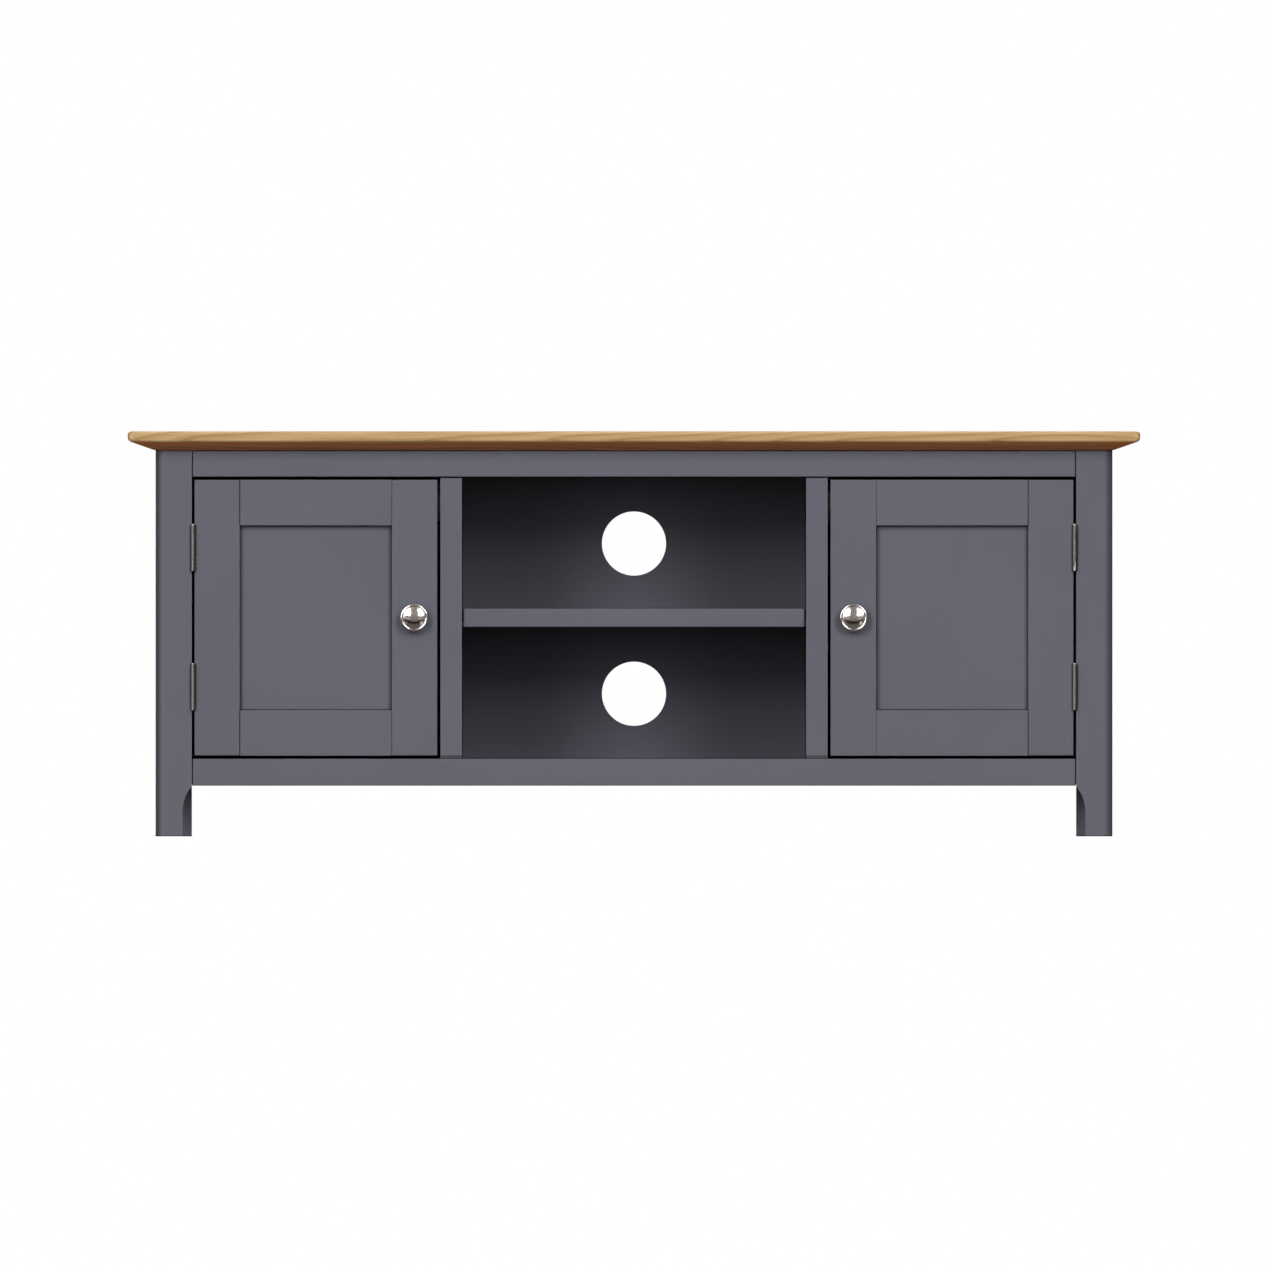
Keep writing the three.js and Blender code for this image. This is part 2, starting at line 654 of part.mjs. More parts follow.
function carcass() {
  const group = new THREE.Group();
  group.add(
    piece("top_panel", topPanel(), oak),
    piece("front_top_rail", crossRail(RAIL_Y, TOP_RAIL_Z), paint),
    piece("front_bottom_rail", crossRail(RAIL_Y, BOTTOM_RAIL_Z), paint),
    piece("back_top_rail", crossRail(BACK_RAIL_Y, TOP_RAIL_Z), paint),
    piece("back_bottom_rail", crossRail(BACK_RAIL_Y, BACK_RAIL_Z), paint),
    piece("bottom_panel", bottomPanel(), paint),
    piece("bottom_cleat", bottomCleat(), softwood),
    piece("back_panel", backPanel(), paint),
    piece("centre_shelf", centreShelf(), paint),
  );
  for (const { name, sign } of SIDES) {
    group.add(
      piece(`leg_front_${name}`, frontLeg(sign), paint),
      piece(`leg_rear_${name}`, rearLeg(sign), paint),
      piece(`side_top_rail_${name}`, sideRail(sign, TOP_RAIL_Z), paint),
      piece(`side_bottom_rail_${name}`, sideRail(sign, BOTTOM_RAIL_Z), paint),
      piece(`side_panel_${name}`, sidePanel(sign), paint),
      piece(`divider_${name}`, divider(sign), paint),
      piece(`corner_brace_front_${name}`, cornerBrace(sign, -1), softwood),
      piece(`corner_brace_rear_${name}`, cornerBrace(sign, 1), softwood),
      piece(`magnetic_catch_${name}`, magneticCatch(sign), catchPlastic),
    );
    for (const place of shelfPinPlaces()) {
      const made = shelfPin(sign, place, SHELF_PIN_R, SHELF_PIN_IN, SHELF_PIN_OUT);
      group.add(piece(`shelf_pin_${place.name}_${name}`, made, steel));
    }
  }
  return group;
}

// A door, and the hinges that it turns on.
function door({ name, sign }) {
  const into = -sign;
  const group = new THREE.Group();
  const lockStile = doorStile(into, DOOR_OUT - FRAME_W).subtract(
    knobBar(into, SCREW_R + GAP, DOOR_Y - SLACK, DOOR_Y + DOOR_T + SLACK),
  );
  group.add(
    piece(`door_${name}_hinge_stile`, doorStile(into, DOOR_IN), paint),
    piece(`door_${name}_lock_stile`, lockStile, paint),
    piece(`door_${name}_top_rail`, doorRail(into, DOOR_H - FRAME_W), paint),
    piece(`door_${name}_bottom_rail`, doorRail(into, 0), paint),
    piece(`door_${name}_panel`, doorPanel(into), paint),
    piece(`knob_${name}`, knob(into), nickel),
    piece(`knob_screw_${name}`, knobScrew(into), steel),
    piece(`strike_plate_${name}`, strikePlate(into), steel),
  );
  const heights = { lower: HINGE_END, upper: DOOR_H - HINGE_END - HINGE_L };
  for (const [level, z] of Object.entries(heights)) {
    const hinge = new THREE.Group();
    hinge.position.z = z;
    hinge.add(
      piece(`hinge_${name}_${level}_frame_leaf`, hingeLeaf(sign, 0), steel),
      piece(`hinge_${name}_${level}_door_leaf`, hingeLeaf(into, 1), steel),
      piece(`hinge_${name}_${level}_pin`, hingePin(), steel),
    );
    group.add(hinge);
  }
  group.position.set(sign * HINGE_X, HINGE_Y, DOOR_LOW);
  return group;
}

const cabinet = new THREE.Group();
cabinet.add(carcass(), ...SIDES.map(door));

export default cabinet;
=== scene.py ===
"""A media cabinet with an oak top on a painted carcass: its materials, eased edges, knobs and
screws, and the studio it stands in.

Metres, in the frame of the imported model: +X is the cabinet's right, -Y its front and +Z up, with
the origin on the floor under the middle of the top. The CAD boards stay as they are, under
modifiers that ease their edges."""

import json
import math

import bmesh
import bpy
from mathutils import Matrix, Vector

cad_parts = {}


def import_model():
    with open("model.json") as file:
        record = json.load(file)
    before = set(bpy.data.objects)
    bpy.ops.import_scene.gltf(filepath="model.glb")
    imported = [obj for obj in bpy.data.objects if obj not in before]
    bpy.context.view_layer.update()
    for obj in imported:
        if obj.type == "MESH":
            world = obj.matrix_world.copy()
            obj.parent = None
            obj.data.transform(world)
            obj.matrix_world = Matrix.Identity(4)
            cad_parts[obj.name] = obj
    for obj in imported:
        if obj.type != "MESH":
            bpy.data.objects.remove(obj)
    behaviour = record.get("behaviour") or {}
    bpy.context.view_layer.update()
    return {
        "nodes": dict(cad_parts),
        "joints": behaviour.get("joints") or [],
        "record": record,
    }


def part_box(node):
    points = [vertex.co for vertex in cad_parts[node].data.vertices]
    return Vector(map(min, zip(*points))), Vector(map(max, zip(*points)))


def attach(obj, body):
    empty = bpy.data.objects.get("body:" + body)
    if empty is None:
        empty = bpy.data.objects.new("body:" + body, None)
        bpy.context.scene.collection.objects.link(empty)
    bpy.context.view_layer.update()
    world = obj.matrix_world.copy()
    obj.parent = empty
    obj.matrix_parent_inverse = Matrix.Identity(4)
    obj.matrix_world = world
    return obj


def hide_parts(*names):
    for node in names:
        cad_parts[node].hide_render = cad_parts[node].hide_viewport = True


MM = 0.001

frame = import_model()

SIDES = {"left": -1, "right": 1}
HINGES = ("lower", "upper")
SLOT_OF = {part["node"]: part["material_slot"] for part in frame["record"]["subparts"]}
BODY_OF = {
    node: body
    for body, nodes in frame["record"]["behaviour"]["bodies"].items()
    for node in nodes
}

# ---- Materials ----


def set_stops(ramp, stops):
    """A stop is a position from 0 to 1 and its colour."""
    while len(ramp.elements) < len(stops):
        ramp.elements.new(0.5)
    for element, (position, colour) in zip(ramp.elements, stops):
        element.position = position
        element.color = (*colour, 1.0)


class Graph:
    """A material's nodes. An input is a plain value, or the output of another node."""

    def __init__(self, name):
        self.material = bpy.data.materials.new(name)
        self.material.use_nodes = True
        self.tree = self.material.node_tree
        self.surface = self.tree.nodes["Principled BSDF"]

    def put(self, node, name, value):
        socket = node.inputs[name]
        if isinstance(value, bpy.types.NodeSocket):
            self.tree.links.new(value, socket)
        else:
            socket.default_value = value

    def add(self, kind, inputs=(), out=0, **settings):
        node = self.tree.nodes.new("ShaderNode" + kind)
        for name, value in settings.items():
            setattr(node, name, value)
        for name, value in dict(inputs).items():
            self.put(node, name, value)
        return node.outputs[out]

    def finish(self, **inputs):
        """Set the surface's own inputs, named with _ for a space, and give back the material."""
        for name, value in inputs.items():
            self.put(self.surface, name.replace("_", " "), value)
        return self.material

    def math(self, operation, *values):
        return self.add("Math", dict(enumerate(values)), operation=operation)

    def vector(self, operation, *values):
        return self.add("VectorMath", dict(enumerate(values)), operation=operation)

    def place(self):
        """Where a point is on its object, moved by chance from one object to the next."""
        chance = self.add("ObjectInfo", out="Random")
        move = self.vector("MULTIPLY", chance, (7.0, 5.0, 3.0))
        return self.vector("ADD", self.add("TexCoord", out="Object"), move)

    def noise(self, place, per_metre, detail=3.0, roughness=0.55):
        """Noise from 0 to 1. per_metre is how many of its waves a metre holds along x, y and z."""
        stretched = self.vector("MULTIPLY", place, per_metre)
        inputs = {"Vector": stretched, "Scale": 1.0, "Detail": detail, "Roughness": roughness}
        return self.add("TexNoise", inputs)

    def ramp(self, factor, *stops):
        """A colour for a factor."""
        node = self.tree.nodes.new("ShaderNodeValToRGB")
        set_stops(node.color_ramp, stops)
        self.tree.links.new(factor, node.inputs["Fac"])
        return node.outputs["Color"]

    def span(self, value, low, high, to_low=0.0, to_high=1.0):
        """A value from low to high, as one from to_low to to_high."""
        inputs = {0: value, 1: low, 2: high, 3: to_low, 4: to_high}
        return self.add("MapRange", inputs)

    def mix(self, factor, first, second, blend_type="MIX"):
        """Two colours mixed, or the second one's effect on the first."""
        inputs = {0: factor, 6: first, 7: second}
        return self.add("Mix", inputs, out=2, data_type="RGBA", blend_type=blend_type)

    def open_share(self, reach):
        """How open a point is, from 0 deep in a joint to 1, as far as the reach."""
        return self.add("AmbientOcclusion", {"Distance": reach}, out="AO", samples=6)

    def bump(self, height, strength, distance):
        inputs = {"Height": height, "Strength": strength, "Distance": distance}
        return self.add("Bump", inputs)


def tone(colour, share):
    return tuple(c * share for c in colour)


def along(axis, lengthwise, across):
    """How many waves a metre holds, in a pattern that runs along an axis."""
    return tuple(lengthwise if i == axis else across for i in range(3))


def grey(level):
    return (level, level, level)


PAINT = (0.104, 0.1055, 0.134)
# How much lighter the paint is on an arris: a painted highlight along the edges.
ARRIS_HIGHLIGHT = 1.08
# How far the painted shade reaches: in the joints and inside corners, and deep in the gaps round the
# doors.
JOINT_SHADE_REACH = 1.9 * MM
GAP_SHADE_REACH = 8 * MM


def paint(axis, arris=False):
    """Satin paint on a board whose grain runs along an axis, or on its arris, made lighter there as a
    painted highlight.

    Painted shade makes it darker in the joints between boards, in inside corners and deep in the gaps
    round the doors."""
    g = Graph("paint_" + "xyz"[axis] + ("_arris" if arris else ""))
    place = g.place()
    cloud = g.noise(place, (5.0, 5.0, 5.0), detail=2.0)
    grain = g.noise(place, along(axis, 7.0, 520.0), detail=4.0)
    peel = g.noise(place, (1400.0, 1400.0, 1400.0), detail=1.0)
    # Painted highlight: the arris is a little lighter than the faces.
    shade = ARRIS_HIGHLIGHT if arris else 1.0
    smoothest, roughest = (0.5, 0.58) if arris else (0.46, 0.54)
    colour = g.ramp(
        cloud,
        (0.3, tone(PAINT, 0.97 * shade)),
        (0.7, tone(PAINT, 1.03 * shade)),
    )
    streaks = g.ramp(grain, (0.3, grey(0.975)), (0.7, grey(1.015)))
    colour = g.mix(1.0, colour, streaks, "MULTIPLY")
    # Painted shade from the occlusion of nearby surfaces: dark in joints and inside corners, and deep
    # in the gaps.
    joint = g.ramp(g.open_share(JOINT_SHADE_REACH), (0.78, grey(0.02)), (0.995, grey(1.0)))
    gap = g.ramp(g.open_share(GAP_SHADE_REACH), (0.12, grey(0.05)), (0.42, grey(1.0)))
    colour = g.mix(1.0, colour, g.mix(1.0, joint, gap, "MULTIPLY"), "MULTIPLY")
    height = g.math("ADD", grain, g.math("MULTIPLY", peel, 0.35))
    return g.finish(
        Base_Color=colour,
        Roughness=g.span(cloud, 0.3, 0.7, smoothest, roughest),
        Normal=g.bump(height, 0.12, 0.1 * MM),
        Specular_IOR_Level=0.3,
    )


def timber(name, tones, rings_per_metre, stave, roughness):
    """Wood sawn along X. tones are its dark latewood, its middle and its light earlywood.

    The rings are cones about a heart that lies below the board, elsewhere for each stave."""
    dark, middle, light = tones
    g = Graph(name)
    place = g.place()
    across = g.add("SeparateXYZ", {0: g.add("TexCoord", out="Object")}, out="Y")
    count = g.math("DIVIDE", across, stave)
    index = g.math("FLOOR", count)
    chance = g.add("TexWhiteNoise", {"W": index}, out="Color", noise_dimensions="1D")
    moved = g.vector("MULTIPLY_ADD", chance, (9.0, 0.09, 0.05), place)
    wobble = g.noise(moved, (2.2, 9.0, 9.0), detail=2.0)
    warp = g.vector("MULTIPLY", wobble, (0.0, 0.02, 0.042))
    heart = g.vector("ADD", g.vector("ADD", moved, warp), (0.0, -0.02, 0.06))
    cone = g.add(
        "Mapping",
        {"Vector": heart, "Rotation": (0.0, 0.5, 0.0), "Scale": (0.11, 1.0, 1.0)},
    )
    rings = g.add(
        "TexWave",
        {
            "Vector": cone,
            "Scale": rings_per_metre * math.tau / 20,
            "Distortion": 1.6,
            "Detail": 3.0,
            "Detail Scale": 1.2,
        },
        out="Fac",
        wave_type="RINGS",
        rings_direction="X",
        wave_profile="SAW",
    )
    fibre = g.noise(moved, along(0, 5.0, 700.0), detail=4.0, roughness=0.65)
    streak = g.noise(moved, along(0, 1.6, 90.0), detail=3.0)
    pores = g.noise(moved, along(0, 120.0, 2300.0), detail=1.0)
    open_pores = g.math("MULTIPLY", g.span(pores, 0.6, 0.7), g.span(rings, 0.55, 0.0))
    colour = g.ramp(
        rings,
        (0.0, tone(middle, 0.92)),
        (0.35, light),
        (0.8, middle),
        (1.0, dark),
    )
    colour = g.mix(g.span(streak, 0.35, 0.7, 0.0, 0.55), colour, (*middle, 1.0))
    for share, low, high in ((fibre, 0.84, 1.12), (chance, 0.92, 1.07)):
        shades = g.ramp(share, (0.25, grey(low)), (0.75, grey(high)))
        colour = g.mix(1.0, colour, shades, "MULTIPLY")
    colour = g.mix(g.math("MULTIPLY", open_pores, 0.5), colour, (*tone(dark, 0.5), 1.0))
    seam = g.math("ABSOLUTE", g.math("SUBTRACT", g.math("FRACT", count), 0.5))
    seam = g.span(seam, 0.5 - 0.35 * MM / stave, 0.5)
    colour = g.mix(g.math("MULTIPLY", seam, 0.35), colour, (*tone(dark, 0.6), 1.0))
    relief = g.math("SUBTRACT", g.math("MULTIPLY", fibre, 0.35), open_pores)
    return g.finish(
        Base_Color=colour,
        Roughness=g.span(fibre, 0.3, 0.7, roughness - 0.05, roughness + 0.07),
        Normal=g.bump(relief, 0.25, 0.12 * MM),
        Specular_IOR_Level=0.3,
    )


def polished_nickel():
    """Bright nickel, with the faint smears of handling."""
    g = Graph("polished_nickel")
    place = g.place()
    smear = g.noise(place, (160.0, 160.0, 240.0), detail=4.0)
    fine = g.noise(place, (2600.0, 2600.0, 2600.0), detail=2.0)
    return g.finish(
        Base_Color=g.ramp(smear, (0.3, (0.55, 0.54, 0.525)), (0.7, (0.61, 0.6, 0.585))),
        Metallic=1.0,
        Roughness=g.span(smear, 0.35, 0.75, 0.09, 0.17),
        Normal=g.bump(fine, 0.03, 0.02 * MM),
    )


def satin_steel(name, colour, roughness):
    """Nickel-plated steel with the fine lines of its brushing."""
    g = Graph(name)
    place = g.place()
    lines = g.noise(place, (4000.0, 4000.0, 120.0), detail=2.0)
    spots = g.noise(place, (300.0, 300.0, 300.0), detail=3.0)
    return g.finish(
        Base_Color=g.ramp(spots, (0.3, tone(colour, 0.9)), (0.7, tone(colour, 1.08))),
        Metallic=1.0,
        Roughness=g.span(lines, 0.3, 0.7, roughness - 0.06, roughness + 0.07),
        Normal=g.bump(lines, 0.08, 0.03 * MM),
    )


def catch_plastic():
    g = Graph("catch_plastic")
    place = g.place()
    stipple = g.noise(place, (2200.0, 2200.0, 2200.0), detail=2.0)
    flow = g.noise(place, (60.0, 60.0, 25.0), detail=2.0)
    return g.finish(
        Base_Color=g.ramp(flow, (0.3, (0.62, 0.6, 0.55)), (0.7, (0.7, 0.68, 0.63))),
        Roughness=g.span(stipple, 0.3, 0.7, 0.42, 0.6),
        Normal=g.bump(stipple, 0.15, 0.05 * MM),
    )


OAK_TONES = ((0.42, 0.23, 0.085), (0.62, 0.4, 0.185), (0.76, 0.52, 0.25))
# The moulded slope has its own oak, made warmer and darker than the rest by these factors.
OAK_SLOPE_TINT = (1.25, 0.74, 0.4)
PINE_TONES = ((0.5, 0.29, 0.12), (0.64, 0.46, 0.25), (0.7, 0.53, 0.32))

PAINTS = [(paint(axis), paint(axis, arris=True)) for axis in range(3)]
OAK = timber("oak", OAK_TONES, 170, 0.1, 0.45)
OAK_SLOPE_TONES = [tuple(c * t for c, t in zip(shade, OAK_SLOPE_TINT)) for shade in OAK_TONES]
OAK_SLOPE = timber("oak_slope", OAK_SLOPE_TONES, 170, 0.1, 0.5)
PINE = timber("pine", PINE_TONES, 320, 0.5, 0.65)
NICKEL = polished_nickel()
STEEL = satin_steel("satin_steel", (0.5, 0.48, 0.44), 0.3)
HINGE_STEEL = satin_steel("hinge_steel", (0.13, 0.133, 0.132), 0.3)
# Near-black steel for the cross recesses of screw heads: painted shade in the hollow.
RECESS_SHADE = satin_steel("recess_shade_steel", (0.06, 0.058, 0.055), 0.3)
PLASTIC = catch_plastic()

# ---- CAD boards and fittings ----

FINISHES = {
    "bare_wood": (PINE, 1.0),
    "steel": (STEEL, 0.18),
    "catch_plastic": (PLASTIC, 0.6),
}
PAINT_EASE = 1.4
EASE_ANGLE = math.radians(35)


def shade_smooth(piece):
    piece.data.polygons.foreach_set("use_smooth", [True] * len(piece.data.polygons))


def shade_by_weight(piece):
    shade_smooth(piece)
    normals = piece.modifiers.new("normals", "WEIGHTED_NORMAL")
    normals.keep_sharp = True


def ease(piece, width, segments=3, material=-1):
    """Round a piece's edges off, all but those that are nearly flat already."""
    bevel = piece.modifiers.new("ease", "BEVEL")
    bevel.width = width * MM
    bevel.segments = segments
    bevel.limit_method = "ANGLE"
    bevel.angle_limit = EASE_ANGLE
    bevel.material = material
    shade_by_weight(piece)


def ease_cad(node, width, material=-1):
    """Merge a CAD node's split vertices and flat triangles, then ease its edges."""
    piece = frame["nodes"][node]
    weld = piece.modifiers.new("weld", "WELD")
    weld.merge_threshold = 0.002 * MM
    flatten = piece.modifiers.new("flatten", "DECIMATE")
    flatten.decimate_type = "DISSOLVE"
    flatten.angle_limit = math.radians(0.5)
    ease(piece, width, material=material)


def dress(node, materials):
    mesh = frame["nodes"][node].data
    mesh.materials.clear()
    for material in materials:
        mesh.materials.append(material)


def grain_axis(node):
    low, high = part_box(node)
    size = high - low
    return max(range(3), key=lambda i: size[i])


def finish_cad_nodes():
    for node, slot in SLOT_OF.items():
        if slot == "painted_wood":
            dress(node, PAINTS[grain_axis(node)])
            ease_cad(node, PAINT_EASE, material=1)
        elif slot in FINISHES:
            material, width = FINISHES[slot]
            dress(node, [HINGE_STEEL if node.endswith("_leaf") else material])
            ease_cad(node, width)


# ---- Making pieces ----


def new_piece(name, bm, materials, body):
    """An object from a finished bmesh, which rides on a body."""
    bmesh.ops.remove_doubles(bm, verts=bm.verts, dist=0.001 * MM)
    bmesh.ops.recalc_face_normals(bm, faces=bm.faces)
    mesh = bpy.data.meshes.new(name)
    bm.to_mesh(mesh)
    bm.free()
    for material in materials:
        mesh.materials.append(material)
    piece = bpy.data.objects.new(name, mesh)
    bpy.context.scene.collection.objects.link(piece)
    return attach(piece, body)


def join_rings(bm, rings, material=None):
    """Quads between each ring of vertices and the next, and round each ring."""
    for lower, upper in zip(rings, rings[1:]):
        count = len(lower)
        for i in range(count):
            j = (i + 1) % count
            face = bm.faces.new((lower[i], lower[j], upper[j], upper[i]))
            if material:
                face.material_index = material(face)


def facing(point, direction):
    """The matrix that carries a shape which stands on z = 0 to a point on a face."""
    turn = Vector((0, 0, 1)).rotation_difference(Vector(direction))
    return Matrix.Translation(point) @ turn.to_matrix().to_4x4()


def arc(x, y, radius, start, end, steps):
    """Points along an arc, both ends included."""
    angles = [start + (end - start) * i / steps for i in range(steps + 1)]
    return [(x + radius * math.cos(a), y + radius * math.sin(a)) for a in angles]


# ---- Oak top ----

BEVEL_W = 26.9 * MM
BEVEL_H = 9.4 * MM
NOSE_R = 5.5 * MM
TOP_EDGE_R = 3.5 * MM
CORNER_R = 7 * MM
SEAT = 0.29 * MM  # the underside comes down this far to sit on the rails
EDGE_STEPS = 10
CORNER_STEPS = 8


def top_edge(thickness):
    """The moulded edge as (in from the nose, up from the underside), from below to above."""
    slope = math.atan2(BEVEL_H, BEVEL_W)
    nose_z = BEVEL_H + NOSE_R * math.cos(slope)
    start = (NOSE_R * (1 - math.sin(slope)) + BEVEL_W + SEAT / math.tan(slope), -SEAT)
    nose = arc(NOSE_R, nose_z, NOSE_R, -math.pi / 2 - slope, -math.pi, EDGE_STEPS)
    upper = (TOP_EDGE_R, thickness - TOP_EDGE_R, TOP_EDGE_R, math.pi, math.pi / 2, EDGE_STEPS)
    return [start, *nose, *arc(*upper)]


def slope_or_back(face):
    """The material of a face under the nose: 1 on the moulded slope, 0 on the plain back."""
    face.normal_update()
    return 1 if abs(face.normal.z) > 0.3 else 0


def oak_top():
    """The top, moulded round its front and both ends, and cut square along its back."""
    low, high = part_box("top_panel")
    bm = bmesh.new()
    rings = []
    for inset, up in top_edge(high.z - low.z):
        radius = max(CORNER_R - inset, 0.3 * MM)
        left, right, front = low.x + inset, high.x - inset, low.y + inset
        outline = [(right, high.y), (left, high.y)]
        outline += arc(left + radius, front + radius, radius, math.pi, 1.5 * math.pi, CORNER_STEPS)
        outline += arc(right - radius, front + radius, radius, -math.pi / 2, 0, CORNER_STEPS)
        rings.append([bm.verts.new((x, y, low.z + up)) for x, y in outline])
    join_rings(bm, rings[:2], slope_or_back)
    join_rings(bm, rings[1:])
    bm.faces.new(rings[0])
    bm.faces.new(rings[-1])
    top = new_piece("oak_top", bm, [OAK, OAK_SLOPE], "carcass")
    ease(top, 0.7)
    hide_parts("top_panel")


# ---- Knobs ----

KNOB_TURNS = 96
KNOB_FACE_R = 36.0  # of the dome, in millimetres
KNOB_FACE_OUT = 17.0
# The turned outline as (radius, out from the door), in millimetres. Its face is added by a formula.
KNOB_FOOT = [(8.0, 0.0), (8.4, 0.3), (8.5, 0.8), (8.3, 1.3), (7.7, 1.7)]
KNOB_NECK = [(6.9, 2.5), (6.2, 3.9), (6.1, 5.5), (7.2, 7.9), (10.0, 10.0), (13.4, 11.2)]
KNOB_BEAD = [(15.4, 11.6), (16.3, 12.3), (16.6, 13.2), (16.3, 14.1), (15.6, 14.7), (14.6, 14.9)]
KNOB_QUIRK = [(13.8, 14.6), (13.4, 14.2), (13.1, 14.2), (12.8, 14.7), (12.3, 15.0)]


def smoothed(points, steps=5):
    """A Catmull-Rom curve through points, which starts and ends at the first and the last."""
    padded = [Vector(p) for p in (points[0], *points, points[-1])]
    made = []
    for before, a, b, after in zip(padded, padded[1:], padded[2:], padded[3:]):
        for i in range(steps):
            t = i / steps
            turn = (b - before) * t + (2 * before - 5 * a + 4 * b - after) * t**2
            made.append(a + (turn + (3 * a - before - 3 * b + after) * t**3) / 2)
    return [*made, padded[-1]]


def knob(side):
    """A turned knob: foot, waist, a bead round its rim, and a face that is slightly domed."""
    node = "knob_" + side
    low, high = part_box(node)
    middle = (low + high) / 2
    face = [(r, KNOB_FACE_OUT - r * r / (2 * KNOB_FACE_R)) for r in (11.8, 9.5, 7, 4.5, 2, 0)]
    outline = smoothed([*KNOB_FOOT, *KNOB_NECK, *KNOB_BEAD, *KNOB_QUIRK, *face])
    bm = bmesh.new()
    rings = []
    for radius, out in outline[:-1]:
        angles = [math.tau * i / KNOB_TURNS for i in range(KNOB_TURNS)]
        ring = [(radius * math.cos(a), radius * math.sin(a), out) for a in angles]
        rings.append([bm.verts.new(Vector(p) * MM) for p in ring])
    join_rings(bm, rings)
    bm.faces.new(rings[0])
    tip = bm.verts.new((0, 0, outline[-1].y * MM))
    for i in range(KNOB_TURNS):
        bm.faces.new((rings[-1][i], rings[-1][(i + 1) % KNOB_TURNS], tip))
    bm.transform(facing((middle.x, high.y, middle.z), (0, -1, 0)))
    piece = new_piece("turned_" + node, bm, [NICKEL], BODY_OF[node])
    shade_smooth(piece)
    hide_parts(node)


# ---- Screw heads ----

HEAD_SECTORS = 40
# As shares of a head's radius:
HEAD_RINGS = (0.09, 0.17, 0.26, 0.36, 0.46, 0.56, 0.66, 0.8, 0.92, 1.0)
CROSS_REACH = 0.6
CROSS_HALF_W = 0.13
# As shares of its rise:
DOME = 0.45  # how far the rim lies below the middle
CROSS_DEPTH = 0.7
SUNK = 0.25  # hidden under the surface that it stands on


def in_cross(radius, angle):
    """Whether a point on a head, as a share of its radius, lies in its cross recess."""
    turn = abs((angle + math.pi / 4) % (math.pi / 2) - math.pi / 4)
    return radius < CROSS_REACH and radius * math.sin(turn) < CROSS_HALF_W


def screw_head(bm, point, direction, radius, rise, turn):
    """A low domed head with a cross recess, standing on a face."""
    move = facing(point, direction) @ Matrix.Rotation(turn, 4, "Z")
    angles = [math.tau * i / HEAD_SECTORS for i in range(HEAD_SECTORS)]
    rings = []
    sunk = set()
    for share in HEAD_RINGS:
        ring = []
        for angle in angles:
            height = rise * (1 - DOME * share**3)
            deep = in_cross(share, angle)
            height -= CROSS_DEPTH * rise if deep else 0
            out = radius * share
            vert = bm.verts.new(move @ Vector((out * math.cos(angle), out * math.sin(angle), height)))
            ring.append(vert)
            if deep:
                sunk.add(vert)
        rings.append(ring)
    base = [
        bm.verts.new(move @ Vector((radius * math.cos(a), radius * math.sin(a), -SUNK * rise)))
        for a in angles
    ]
    # Faces in the cross recess take the second material, the painted shade.
    join_rings(bm, [*rings, base], lambda face: int(sum(v in sunk for v in face.verts) > 2))
    centre = bm.verts.new(move @ Vector((0, 0, (1 - CROSS_DEPTH) * rise)))
    # The middle of the recess takes the painted shade too.
    for i in range(HEAD_SECTORS):
        face = bm.faces.new((rings[0][i], rings[0][(i + 1) % HEAD_SECTORS], centre))
        face.material_index = 1
    bm.faces.new(base)


def screws(name, body, places, direction, head):
    """Screw heads on one face, as one piece. Each is turned another way."""
    bm = bmesh.new()
    radius, rise = head
    for i, place in enumerate(places):
        screw_head(bm, place, direction, radius * MM, rise * MM, turn=0.7 * i)
    shade_by_weight(new_piece(name, bm, [STEEL, RECESS_SHADE], body))


LEAF_FACE = 0.2 * MM  # from the pin's axis to a leaf's open face
LEAF_SCREWS = (-18, 0, 18)
LEAF_SCREW_BACK = 11.5 * MM  # behind the pin's axis
LEAF_STAGGER = 2 * MM
# Screw heads as (radius, rise), in millimetres.
LEAF_HEAD = (2.6, 0.15)
CATCH_HEAD = (2.7, 1.0)
STRIKE_HEAD = (1.9, 0.15)
BACK_HEAD = (3.4, 0.25)


def hinge_screws(side, sign, level):
    axis = next(j for j in frame["joints"] if j["child"] == side + "_door")["pos_m"]
    for leaf, way in (("frame", sign), ("door", -sign)):
        node = f"hinge_{side}_{level}_{leaf}_leaf"
        low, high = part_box(node)
        places = [
            (
                axis[0] + way * LEAF_FACE,
                axis[1] + LEAF_SCREW_BACK + (LEAF_STAGGER if up == 0 else -LEAF_STAGGER),
                (low.z + high.z) / 2 + up * MM,
            )
            for up in LEAF_SCREWS
        ]
        screws(node.replace("leaf", "screws"), BODY_OF[node], places, (-way, 0, 0), LEAF_HEAD)


CATCH_EAR_T = 3 * MM
CATCH_SCREW_FROM_BACK = 7 * MM
CATCH_SCREW_UP = 18.2 * MM  # from the catch's middle
POLE_PLATE = (1.4 * MM, 3 * MM, 21 * MM)
POLE_PLATES_AT = (-3.6 * MM, 2.4 * MM)  # across the catch, from its middle
POLE_PLATE_BEHIND = 1.3 * MM  # its middle, behind the catch's front
STRIKE_SCREW_IN = 2.9 * MM  # from the strike plate's outer edge
STRIKE_SCREW_UP = 10 * MM  # from its middle


